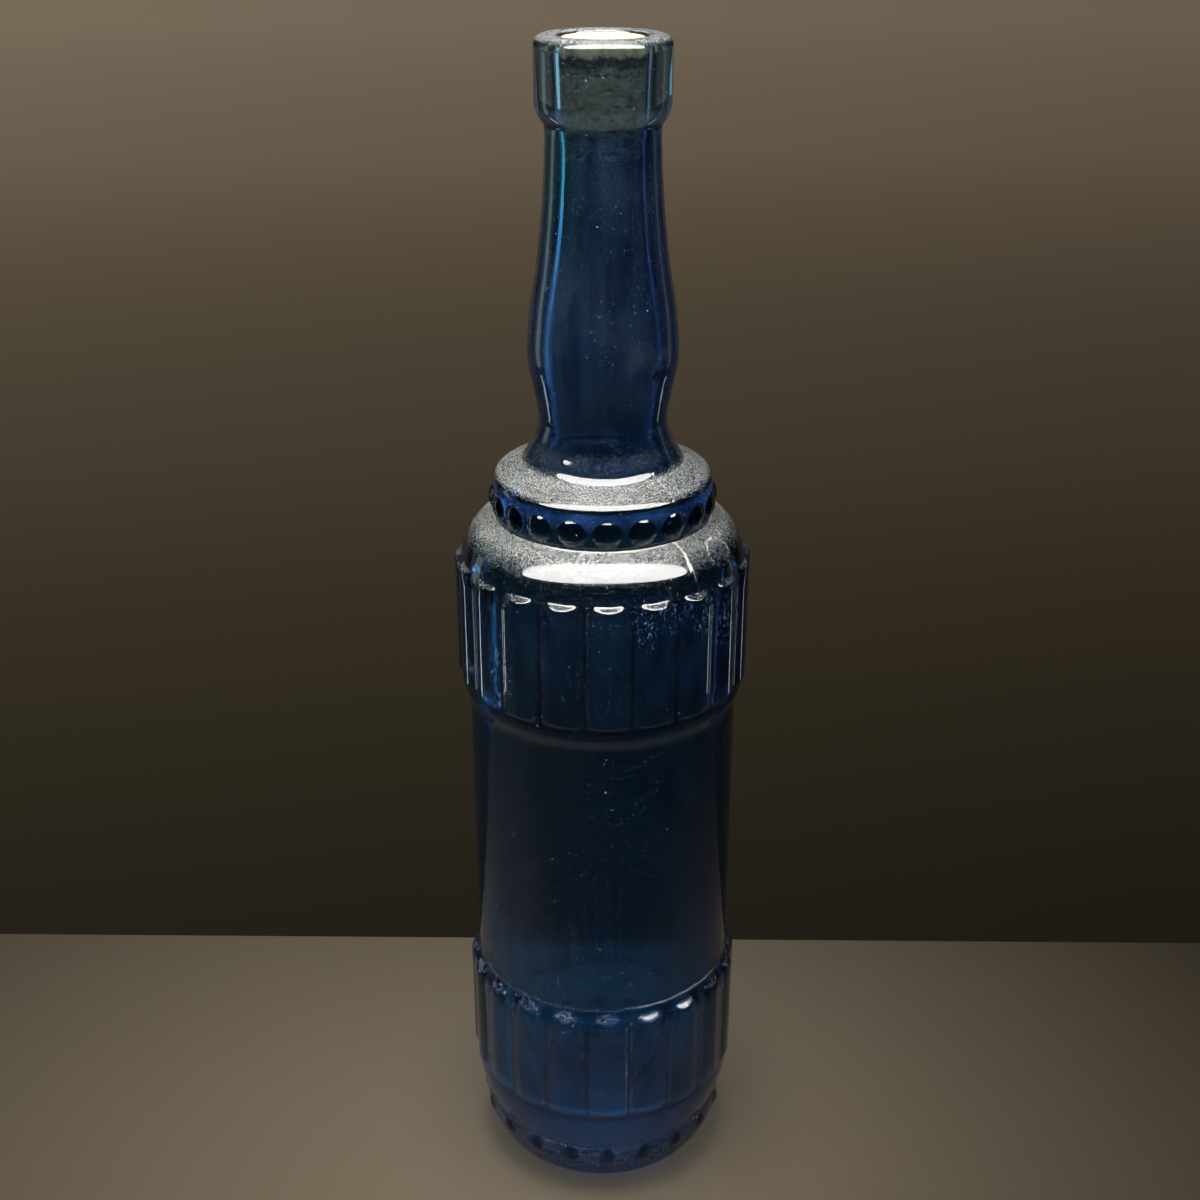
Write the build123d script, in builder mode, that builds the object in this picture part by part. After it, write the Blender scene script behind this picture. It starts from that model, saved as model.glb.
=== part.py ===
import math
import os

from build123d import *

os.makedirs("parts", exist_ok=True)

# Millimetres. The origin is the centre of the standing plane, +Z runs up the
# axis to the mouth and -Y is the side with a rib centred on it.

# overall
total_height = 322.0
divisions = 20  # ribs on each band and beads on each ring
pitch = 360.0 / divisions
front_angle = -90.0  # a rib and a bead are centred on -Y

# lip (finish)
lip_radius = 16.46
lip_top_round = 2.67
lip_straight_bottom = 307.39
lip_underside = 301.99
neck_top_radius = 14.15

# mouth and bore: a slight taper that the stopper sits in
mouth_round = 1.23
bore_top_radius = 10.85
bore_top_z = total_height - mouth_round
bore_bottom_radius = 9.41
bore_bottom_z = 293.19

# stopper
stopper_clearance = 0.06
stopper_top_z = 321.49
stopper_bottom_z = 294.22
stopper_edge = 0.62

# shoulder steps
bead_ring_radius = 28.55
bead_ring_bottom = 203.59
bead_ring_top = 212.4

# beads on the shoulder ring
bead_outer_radius = 29.89
bead_face_radius = 3.6
bead_height = 207.9

# ribbed bands
band_radius = 38.17
rib_crest_radius = 39.3
rib_round_radius = 10.29
upper_rib_bottom = 158.43
upper_rib_crest_end = 191.5  # where the slanted top meets the crest
upper_rib_slant = 31.0  # how far the top face leans out from level, degrees
lower_rib_crest_radius = 38.99
lower_rib_bottom = 31.17
lower_rib_crest_end = 63.6
lower_rib_slant = 52.0
rib_top_edge = 0.45
rib_half_angle = 8.5  # each rib is a slice this far each way about its middle
rib_root_radius = 34.3  # how deep the slice goes into the wall
rib_bottom_round = 0.93

# plain cylinder between the bands
body_radius = 36.42

# heel and base
heel_radius = 35.59
heel_bead_outer_radius = 36.32
heel_bead_face_radius = 2.47
heel_bead_height = 13.37
standing_outer_radius = 26.75
standing_inner_radius = 24.18
punt_height = 8.23

# hollow inside
inner_radius = 33.13
floor_centre_z = 14.4


def cap_radius(face_radius, height):
    """Radius of the sphere whose cap has this face radius and height."""
    return (face_radius**2 + height**2) / (2 * height)


# ---- outer skin without ribs and beads, turned about the axis ----
with BuildPart() as glass_bottle:
    with BuildSketch(Plane.XZ) as skin:
        with BuildLine():
            # base: push-up and standing ring
            Spline(
                (0, punt_height),
                (9.26, 7.41),
                (18.0, 3.7),
                (standing_inner_radius, 0),
                tangents=((1, 0), (0.80, -0.60)),
            )
            Line((standing_inner_radius, 0), (standing_outer_radius, 0))
            # rounded heel
            Spline(
                (standing_outer_radius, 0),
                (30.25, 1.75),
                (32.41, 4.01),
                (34.05, 6.89),
                (35.13, 9.88),
                (heel_radius, 12.96),
                tangents=((1, 0.0), (0, 1)),
            )
            Line((heel_radius, 12.96), (heel_radius, 15.64))
            # narrow groove above the heel, then the flare of the lower band
            Spline(
                (heel_radius, 15.64),
                (35.29, 16.77),
                (35.75, 17.9),
                (37.04, 22.22),
                (38.01, 27.36),
                (band_radius, 30.86),
                tangents=((-0.2, 1), (0, 1)),
            )
            Line((band_radius, 30.86), (band_radius, 61.73))
            # upper edge of the lower band, back to the cylinder
            Spline(
                (band_radius, 61.73),
                (37.81, 63.68),
                (37.19, 65.22),
                (36.57, 67.07),
                (body_radius, 69.34),
                tangents=((0, 1), (0, 1)),
            )
            Line((body_radius, 69.34), (body_radius, 148.76))
            # lower edge of the upper band
            Spline(
                (body_radius, 148.76),
                (36.64, 151.43),
                (37.29, 153.18),
                (37.91, 154.72),
                (band_radius, 156.78),
                tangents=((0, 1), (0, 1)),
            )
            Line((band_radius, 156.78), (band_radius, 189.0))
            # lower, wider dome of the shoulder
            Spline(
                (band_radius, 189.0),
                (37.89, 191.2),
                (37.5, 192.67),
                (36.87, 194.7),
                (35.95, 197.01),
                (34.46, 199.17),
                (32.71, 200.92),
                (30.86, 202.2),
                (28.39, 203.02),
                tangents=((0, 1), (-1, 0.12)),
            )
            # ring that carries the beads
            Line((28.39, 203.02), (28.14, bead_ring_bottom))
            Line((28.14, bead_ring_bottom), (bead_ring_radius, 204.31))
            Line((bead_ring_radius, 204.31), (bead_ring_radius, bead_ring_top))
            # upper, smaller dome and the foot of the neck
            Spline(
                (bead_ring_radius, bead_ring_top),
                (28.5, 213.2),
                (28.15, 214.1),
                (27.4, 214.95),
                (26.3, 215.65),
                (24.8, 216.4),
                (23.2, 217.1),
                (22.0, 217.65),
                (21.2, 218.15),
                (20.55, 218.8),
                (20.0, 219.65),
                (19.5, 220.65),
                (18.9, 221.8),
                (18.1, 223.3),
                (17.35, 224.9),
                (16.75, 226.7),
                (16.45, 229.0),
                tangents=((0, 1), (0.03, 1)),
            )
            # neck with its bulge
            Spline(
                (16.45, 229.0),
                (17.03, 233.53),
                (18.05, 238.77),
                (18.98, 243.4),
                (19.22, 246.49),
                (19.03, 250.6),
                (18.05, 259.66),
                (16.77, 266.86),
                (15.38, 278.38),
                (14.51, 288.67),
                (14.18, 295.77),
                (neck_top_radius, lip_underside),
                tangents=((0.03, 1), (0, 1)),
            )
            # lip
            Spline(
                (neck_top_radius, lip_underside),
                (15.25, 303.23),
                (16.13, 305.13),
                (lip_radius, lip_straight_bottom),
                tangents=((0.9, 0.55), (0, 1)),
            )
            Line(
                (lip_radius, lip_straight_bottom),
                (lip_radius, total_height - lip_top_round),
            )
            RadiusArc(
                (lip_radius, total_height - lip_top_round),
                (lip_radius - lip_top_round, total_height),
                -lip_top_round,
            )
            Line((lip_radius - lip_top_round, total_height), (0, total_height))
            Line((0, total_height), (0, punt_height))
        make_face()
    revolve(axis=Axis.Z)

# ---- one rib of each band: the outer slice of a round bar, whose top is cut off
# at a slant, drawn about the bar's own axis ----
def rib_section(crest_radius):
    """Slice of the round bar that stands in the wall, reaching the crest at +X."""
    bar_centre = crest_radius - rib_round_radius
    half = math.radians(rib_half_angle)
    with BuildSketch() as section:
        Circle(rib_round_radius)
        with BuildLine():
            Polyline(
                (rib_root_radius * math.cos(half) - bar_centre, -rib_root_radius * math.sin(half)),
                (42 * math.cos(half) - bar_centre, -42 * math.sin(half)),
                (42 * math.cos(half) - bar_centre, 42 * math.sin(half)),
                (rib_root_radius * math.cos(half) - bar_centre, rib_root_radius * math.sin(half)),
                close=True,
            )
        make_face(mode=Mode.INTERSECT)
    return section.sketch


def rib(crest_radius, bottom, crest_end, slant):
    """A rib with a softened foot and a slanted top that meets the crest at crest_end."""
    lean = math.radians(slant)
    with BuildPart() as bar:
        with Locations((0, 0, bottom)):
            add(rib_section(crest_radius))
        extrude(amount=crest_end - bottom + 12)
        foot = bar.faces().sort_by(Axis.Z)[0].edges().filter_by(GeomType.CIRCLE)
        fillet(foot, rib_bottom_round)
        split(
            bisect_by=Plane(
                origin=(rib_round_radius, 0, crest_end),
                x_dir=(math.cos(lean), 0, -math.sin(lean)),
                z_dir=(math.sin(lean), 0, math.cos(lean)),
            ),
            keep=Keep.BOTTOM,
        )
        rim = (
            bar.faces()
            .sort_by(Axis.Z)[-1]
            .edges()
            .filter_by(lambda edge: edge.geom_type != GeomType.LINE)
        )
        fillet(rim, rib_top_edge)
    return bar.part


upper_rib = rib(
    rib_crest_radius, upper_rib_bottom, upper_rib_crest_end, upper_rib_slant
)
lower_rib = rib(
    lower_rib_crest_radius, lower_rib_bottom, lower_rib_crest_end, lower_rib_slant
)

bead_radius = cap_radius(bead_face_radius, bead_outer_radius - bead_ring_radius)
heel_bead_radius = cap_radius(
    heel_bead_face_radius, heel_bead_outer_radius - heel_radius
)

with glass_bottle:
    # ribs of both bands
    with PolarLocations(
        rib_crest_radius - rib_round_radius, divisions, start_angle=front_angle
    ):
        add(upper_rib)
    with PolarLocations(
        lower_rib_crest_radius - rib_round_radius, divisions, start_angle=front_angle
    ):
        add(lower_rib)
    # beads of the shoulder ring
    with Locations((0, 0, bead_height)):
        with PolarLocations(
            bead_outer_radius - bead_radius, divisions, start_angle=front_angle
        ):
            Sphere(bead_radius)
    # beads of the heel ring
    with Locations((0, 0, heel_bead_height)):
        with PolarLocations(
            heel_bead_outer_radius - heel_bead_radius,
            divisions,
            start_angle=front_angle,
        ):
            Sphere(heel_bead_radius)
    # the hollow inside, the bore and the rounded mouth
    with BuildSketch(Plane.XZ) as hollow:
        with BuildLine():
            Line((0, total_height + 2), (0, floor_centre_z))
            Spline(
                (0, floor_centre_z),
                (10.29, 13.07),
                (19.55, 9.46),
                (26.23, 8.54),
                (31.07, 11.73),
                (inner_radius, 19.03),
                tangents=((1, 0), (0, 1)),
            )
            Line((inner_radius, 19.03), (inner_radius, 185.18))
            Spline(
                (inner_radius, 185.18),
                (32.87, 191.35),
                (31.89, 195.05),
                (30.25, 197.52),
                (27.98, 199.48),
                (25.72, 201.64),
                (24.9, 205.24),
                (24.79, 209.35),
                (23.97, 212.54),
                (21.81, 214.8),
                (18.72, 216.76),
                (15.74, 218.82),
                (13.37, 221.39),
                (12.14, 224.89),
                (11.93, 228.9),
                (12.45, 235.07),
                (13.48, 241.76),
                (13.79, 246.9),
                (13.27, 253.59),
                (11.83, 263.36),
                (10.39, 273.65),
                (9.62, 283.94),
                (bore_bottom_radius, bore_bottom_z),
                tangents=((0, 1), (0.02, 1)),
            )
            Line((bore_bottom_radius, bore_bottom_z), (bore_top_radius, bore_top_z))
            RadiusArc(
                (bore_top_radius, bore_top_z),
                (bore_top_radius + mouth_round, total_height),
                mouth_round,
            )
            Line(
                (bore_top_radius + mouth_round, total_height),
                (bore_top_radius + mouth_round, total_height + 2),
            )
            Line((bore_top_radius + mouth_round, total_height + 2), (0, total_height + 2))
        make_face()
    revolve(axis=Axis.Z, mode=Mode.SUBTRACT)

glass_bottle.part.label = "glass_bottle"

# ---- stopper: a tapered cork with softened edges ----
bore_slope = (bore_top_radius - bore_bottom_radius) / (bore_top_z - bore_bottom_z)


def stopper_radius(z):
    """Radius of the stopper at this height, a clearance inside the bore."""
    return bore_bottom_radius + bore_slope * (z - bore_bottom_z) - stopper_clearance


with BuildPart() as cork_stopper:
    with BuildSketch(Plane.XZ) as stopper_section:
        with BuildLine():
            Polyline(
                (0, stopper_bottom_z),
                (stopper_radius(stopper_bottom_z) - stopper_edge, stopper_bottom_z),
                (
                    stopper_radius(stopper_bottom_z + stopper_edge),
                    stopper_bottom_z + stopper_edge,
                ),
                (
                    stopper_radius(stopper_top_z - stopper_edge),
                    stopper_top_z - stopper_edge,
                ),
                (stopper_radius(stopper_top_z) - stopper_edge, stopper_top_z),
                (0, stopper_top_z),
                close=True,
            )
        make_face()
    revolve(axis=Axis.Z)

cork_stopper.part.label = "cork_stopper"

export_step(glass_bottle.part, "parts/glass_bottle.step")
export_step(cork_stopper.part, "parts/cork_stopper.step")
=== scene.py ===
import math
import random

import bpy
import numpy as np
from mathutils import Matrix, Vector, noise


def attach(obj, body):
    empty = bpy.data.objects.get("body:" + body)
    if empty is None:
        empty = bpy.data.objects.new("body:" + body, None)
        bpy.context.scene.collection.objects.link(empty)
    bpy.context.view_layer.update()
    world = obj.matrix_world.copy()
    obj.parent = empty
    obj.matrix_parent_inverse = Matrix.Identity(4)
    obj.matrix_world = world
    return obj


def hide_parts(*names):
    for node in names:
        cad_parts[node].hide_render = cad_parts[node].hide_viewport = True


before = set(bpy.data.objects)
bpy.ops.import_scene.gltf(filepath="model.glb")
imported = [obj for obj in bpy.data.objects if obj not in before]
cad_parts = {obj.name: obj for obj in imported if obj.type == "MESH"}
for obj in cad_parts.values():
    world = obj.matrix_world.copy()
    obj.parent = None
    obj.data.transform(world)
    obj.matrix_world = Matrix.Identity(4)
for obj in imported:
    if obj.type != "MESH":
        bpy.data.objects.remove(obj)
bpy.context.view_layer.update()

MM = 0.001
random.seed(4080)
noise.seed_set(4080)

# ------------------------------------------------------------------ sizes
H = 322.0
PITCH = math.radians(18.0)
LIP_R = 16.46
LIP_UNDER = 301.99
BORE_TOP_R, BORE_TOP_Z = 10.85, 320.77
BORE_LOW_R, BORE_LOW_Z = 9.41, 293.19
BAND_R = 38.17
RIB_RHO = 10.29
BEAD_RING_R = 28.55
EDGE_Y, EDGE_SKEW = 0.0864, -0.0507  # back edge of the floor, metres
SLANT_HIGH = math.radians(31.0)
SLANT_LOW = math.radians(58.0)
# a few of the lower rib tops lean less, so they catch the light
LOWER_LEAN = np.zeros(20)
LOWER_LEAN[[1, 2]] = (-11.0, -13.0)
LOWER_LEAN[[3, 9, 13, 19]] = (-3.0, -6.0, -5.0, -1.5)


# --------------------------------------------------------------- profiles
def through(points, start=None, end=None, step=0.4):
    """A smooth curve through the points, sampled about every step mm."""
    p = np.array(points, float)
    n = len(p)
    if n == 2:
        k = max(1, int(round(np.linalg.norm(p[1] - p[0]) / step)))
        t = np.linspace(0, 1, k + 1)[:, None]
        return p[0] + (p[1] - p[0]) * t
    chord = np.linalg.norm(np.diff(p, axis=0), axis=1)
    t = np.concatenate([[0], np.cumsum(chord)])
    m = np.zeros_like(p)
    for i in range(1, n - 1):
        a = (p[i] - p[i - 1]) / chord[i - 1]
        b = (p[i + 1] - p[i]) / chord[i]
        m[i] = (a * chord[i] + b * chord[i - 1]) / (chord[i] + chord[i - 1])
    unit = lambda v: np.array(v, float) / np.linalg.norm(v)
    m[0] = unit(start) if start is not None else (p[1] - p[0]) / chord[0]
    m[-1] = unit(end) if end is not None else (p[-1] - p[-2]) / chord[-1]
    out = [p[0]]
    for i in range(n - 1):
        k = max(1, int(round(chord[i] / step)))
        for j in range(1, k + 1):
            s = j / k
            h = chord[i]
            out.append(
                (2 * s**3 - 3 * s**2 + 1) * p[i]
                + (s**3 - 2 * s**2 + s) * h * m[i]
                + (-2 * s**3 + 3 * s**2) * p[i + 1]
                + (s**3 - s**2) * h * m[i + 1]
            )
    return np.array(out)


def arc(cx, cz, r, a0, a1, k):
    a = np.radians(np.linspace(a0, a1, k + 1))
    return np.stack([cx + r * np.cos(a), cz + r * np.sin(a)], 1)


def joined(*runs):
    out = [runs[0]]
    for r in runs[1:]:
        out.append(r[1:])
    return np.concatenate(out)


# the underside, from the middle of the push-up to the standing ring
base_run = joined(
    through([(0, 8.23), (9.26, 7.41), (18.0, 3.7), (24.18, 0.35), (25.3, 0.0)], (1, 0), (1, -0.05), 1.3),
)
# heel, lower band: fine rows, with ribs and beads
low_run = joined(
    through([(25.3, 0.0), (26.6, 0.02), (30.25, 1.75), (32.41, 4.01), (34.05, 6.89), (35.13, 9.88), (35.59, 12.96)], (1, 0), (0, 1), 0.75),
    through([(35.59, 12.96), (35.62, 15.3), (35.29, 16.77), (35.75, 17.9), (37.04, 22.22), (38.01, 27.36), (BAND_R, 30.86)], (0, 1), (0, 1), 0.6),
    through([(BAND_R, 30.86), (BAND_R, 33.2)], step=0.45),
    through([(BAND_R, 33.2), (BAND_R, 57.5)], step=3.0),
    through([(BAND_R, 57.5), (BAND_R, 61.73), (37.81, 63.68), (37.19, 65.22), (36.57, 67.07), (36.42, 69.34)], (0, 1), (0, 1), 0.5),
)
# plain cylinder
body_run = through([(36.42, 69.34), (36.42, 148.76)], step=2.6)
# upper band and shoulder: fine rows
high_run = joined(
    through([(36.42, 148.76), (36.64, 151.43), (37.29, 153.18), (37.91, 154.72), (BAND_R, 156.78)], (0, 1), (0, 1), 0.6),
    through([(BAND_R, 156.78), (BAND_R, 160.6)], step=0.5),
    through([(BAND_R, 160.6), (BAND_R, 186.5)], step=3.2),
    through([(BAND_R, 186.5), (BAND_R, 189.0), (37.89, 191.2), (37.5, 192.67), (36.87, 194.7), (35.95, 197.01)], (0, 1), None, 0.24),
    through([(35.95, 197.01), (34.46, 199.17), (32.71, 200.92), (30.86, 202.2), (28.75, 202.98), (28.2, 203.3)], (-0.5, 0.86), (-0.75, 0.65), 0.8),
    through([(28.2, 203.3), (28.1, 203.66), (28.32, 204.1), (BEAD_RING_R, 204.6)], (-0.5, 0.8), (0, 1), 0.3),
    through([(BEAD_RING_R, 204.6), (BEAD_RING_R, 210.9)], step=0.34),
    through([(BEAD_RING_R, 210.9), (BEAD_RING_R, 212.4), (28.5, 213.2), (28.15, 214.1), (27.4, 214.95), (26.3, 215.65)], (0, 1), (-0.88, 0.47), 0.3),
)
# upper dome and neck up to the lip's underside
neck_run = joined(
    through(
        [
            (26.3, 215.65), (24.8, 216.4), (23.2, 217.1), (22.0, 217.65), (21.2, 218.15), (20.55, 218.8),
            (20.0, 219.65), (19.5, 220.65), (18.9, 221.8), (18.1, 223.3), (17.35, 224.9), (16.75, 226.7),
            (16.45, 229.0),
        ],
        (-0.88, 0.47), (-0.03, 1), 0.42,
    ),
    through(
        [
            (16.45, 229.0), (17.03, 233.53), (18.05, 238.77), (18.98, 243.4), (19.22, 246.49),
            (19.03, 250.6), (18.05, 259.66), (16.77, 266.86), (15.38, 278.38), (14.51, 288.67),
            (14.18, 295.77), (14.15, 301.2), (14.3, 302.1),
        ],
        (-0.03, 1), (0.7, 0.7), 1.2,
    ),
)
lip_run = joined(
    through([(14.3, 302.1), (15.25, 303.23), (16.13, 305.13), (LIP_R, 307.39)], (0.9, 0.6), (0, 1), 0.55),
    through([(LIP_R, 307.39), (LIP_R, 319.33)], step=1.7),
    arc(LIP_R - 2.67, H - 2.67, 2.67, 0, 90, 9),
    through([(LIP_R - 2.67, H), (12.08, H)], step=0.6),
    arc(12.08, H - 1.23, 1.23, 90, 180, 6),
)
inner_run = joined(
    through([(BORE_TOP_R, BORE_TOP_Z), (BORE_LOW_R, BORE_LOW_Z)], step=2.0),
    through(
        [
            (BORE_LOW_R, BORE_LOW_Z), (9.62, 283.94), (10.39, 273.65), (11.83, 263.36), (13.27, 253.59),
            (13.79, 246.9), (13.48, 241.76), (12.45, 235.07), (11.93, 228.9), (12.14, 224.89),
            (13.37, 221.39), (15.74, 218.82), (18.72, 216.76), (21.81, 214.8), (23.97, 212.54),
            (24.79, 209.35), (24.9, 205.24), (25.72, 201.64), (27.98, 199.48), (30.25, 197.52),
            (31.89, 195.05), (32.87, 191.35), (33.13, 185.18),
        ],
        (-0.02, -1), (0, -1), 1.2,
    ),
    through([(33.13, 185.18), (33.13, 19.03)], step=5.5),
    through([(33.13, 19.03), (31.07, 11.73), (26.23, 8.54), (19.55, 9.46), (10.29, 13.07), (0.6, 14.38)], (0, -1), (-1, 0), 1.3),
)


# ----------------------------------------------------- ribs, beads, marks
def smax(a, b, k):
    h = np.clip(0.5 + 0.5 * (a - b) / k, 0, 1)
    return b + (a - b) * h + k * h * (1 - h)


def cap_sphere(face, height):
    return (face**2 + height**2) / (2 * height)


def smin(a, b, k):
    h = np.clip(0.5 + 0.5 * (b - a) / k, 0, 1)
    return b + (a - b) * h - k * h * (1 - h)


def rib_reach(phi, z, crest, z0, z1, slant, bottom=0.93, narrow=6.4, lean=None):
    """Outer radius of a band of round ribs, whose tops are cut by a slanted plane, 0 where there is none.
    z1 is where the cut meets the crest and slant is how far its normal leans out from straight up."""
    f = (phi + PITCH / 2) % PITCH - PITCH / 2
    rho = np.full_like(z, RIB_RHO)
    b = np.clip((z0 + bottom) - z, 0, bottom)
    rho = rho - (bottom - np.sqrt(np.clip(bottom**2 - b**2, 0, None)))
    ease = np.clip((z - (z1 - 4.0)) / 3.6, 0, 1)
    rho = rho - (RIB_RHO - narrow) * ease * ease * (3 - 2 * ease)
    tip = np.clip((z - (z1 - 0.1)) / 2.4, 0, 1)
    rho = rho - (rho - 2.2) * tip
    c = crest - np.maximum(rho, 0.0) - np.where(z < z0 + bottom, RIB_RHO - rho, 0.0)
    under = rho**2 - (c * np.sin(f)) ** 2
    r = c * np.cos(f) + np.sqrt(np.clip(under, 0, None))
    tilt = np.full_like(z, slant)
    if lean is not None:
        tilt = tilt + np.radians(lean[np.floor((phi + PITCH / 2) / PITCH).astype(int) % 20])
    s, t = np.sin(tilt), np.cos(tilt)
    cut = (crest * s + (z1 - z) * t) / (s * np.cos(f))
    r = smin(r, cut, 0.40)
    return np.where((under > 0) & (z >= z0) & (z <= z1 + 6), r, 0.0)


def facet_mark(phi, z, rr, base, crest, z1, slant):
    """1 on the cut top of a rib, 0 elsewhere."""
    f = (phi + PITCH / 2) % PITCH - PITCH / 2
    below = (crest - rr * np.cos(f)) * math.sin(slant) + (z1 - z) * math.cos(slant)
    on = np.clip(1.35 - np.abs(below) / 0.35, 0, 1)
    return np.where((rr - base > 0.05) & (z > z1 - 1.2) & (z < z1 + 5), on, 0.0)


def bead_reach(phi, z, outer, wall, face, height):
    f = (phi + PITCH / 2) % PITCH - PITCH / 2
    rho = cap_sphere(face, outer - wall)
    c = outer - rho
    under = rho**2 - (c * np.sin(f)) ** 2 - (z - height) ** 2
    r = c * np.cos(f) + np.sqrt(np.clip(under, 0, None))
    return np.where(under > 0, r, 0.0)


def outer_radius(phi, r, z):
    """Radius of the outer skin with its ribs, beads, seams and small marks."""
    out = r.copy()
    ribs = rib_reach(phi, z, 39.3, 158.43, 191.5, SLANT_HIGH)
    ribs = np.maximum(ribs, rib_reach(phi, z, 38.99, 31.17, 63.6, SLANT_LOW, lean=LOWER_LEAN))
    out = np.where(ribs > 0, smax(out, ribs, 0.22), out)
    beads = np.where(
        (z > 203.9) & (z < 211.9), bead_reach(phi, z, 29.89, BEAD_RING_R, 3.6, 207.9), 0.0
    )
    heel = np.where(
        (z > 9.5) & (z < 16.6), bead_reach(phi, z, 36.32, 35.59, 2.47, 13.37), 0.0
    )
    # a crisp ledge runs round where the lower band meets the cylinder
    out = out + 0.17 * np.exp(-(((z - 68.0) / 0.42) ** 2))
    out = np.where(beads > 0, smax(out, beads, 0.10), out)
    out = np.where(heel > 0, smax(out, heel, 0.12), out)
    return out


def seam_height(phi, z):
    """Two mould seams, half a turn apart, strongest on the domes."""
    d = (phi - math.radians(37.0) + math.pi / 2) % math.pi - math.pi / 2
    width = math.radians(0.42)
    strong = np.interp(
        z, [0, 12, 30, 62, 72, 145, 158, 190, 196, 203, 206, 212, 216, 224, 236, 300, 303, 322],
        [0.03, 0.08, 0.04, 0.03, 0.03, 0.03, 0.03, 0.05, 0.26, 0.34, 0.05, 0.06, 0.12, 0.08, 0.05, 0.03, 0.0, 0.0],
    )
    return strong * np.exp(-((d / width) ** 2))


def rib_tone(phi, z):
    """One shade for each rib, so neighbours differ a little, 0.5 away from the bands."""
    rs = np.random.RandomState(31)
    high = rs.uniform(0, 1, 20)
    low = rs.uniform(0, 1, 20)
    k = np.floor((phi + PITCH / 2) / PITCH).astype(int) % 20
    a = high[k] if z[0] > 120 else low[k]
    w = 1.0 if (159 < z[0] < 193 or 31 < z[0] < 64.5) else 0.0
    return 0.5 + (a - 0.5) * w


def corner_lines(phi, z):
    """The two corners of each groove, with dirt and a painted reflection, stronger here and there."""
    if not (158.2 < z[0] < 192.5 or 30.6 < z[0] < 63.8):
        return np.zeros_like(z)
    f = (phi + PITCH / 2) % PITCH - PITCH / 2
    rs = np.random.RandomState(77 if z[0] > 120 else 78)
    left = rs.uniform(0.0, 1.0, 21) ** 1.5
    right = rs.uniform(0.0, 1.0, 21) ** 1.5
    k = np.floor((phi + PITCH / 2) / PITCH).astype(int) % 20
    deg = np.degrees(f)
    slow = 0.75 + 0.25 * np.sin(z[0] * 0.31 + k * 2.1)
    a = right[k] * np.exp(-(((deg - 8.0) / 0.42) ** 2)) + left[k] * np.exp(-(((deg + 8.0) / 0.42) ** 2))
    return np.clip(a * slow, 0, 1)


def wave(phi, z, seedv, amp, fz, fp):
    """Slow unevenness of hand-warm moulded glass."""
    s = np.zeros_like(z)
    rs = np.random.RandomState(seedv)
    for _ in range(7):
        k = rs.randint(1, fp + 1)
        w = rs.uniform(0.3, 1.0) * fz
        s += rs.uniform(0.4, 1) * np.sin(k * phi + w * z + rs.uniform(0, 6.28))
    return amp * s / 7


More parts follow.
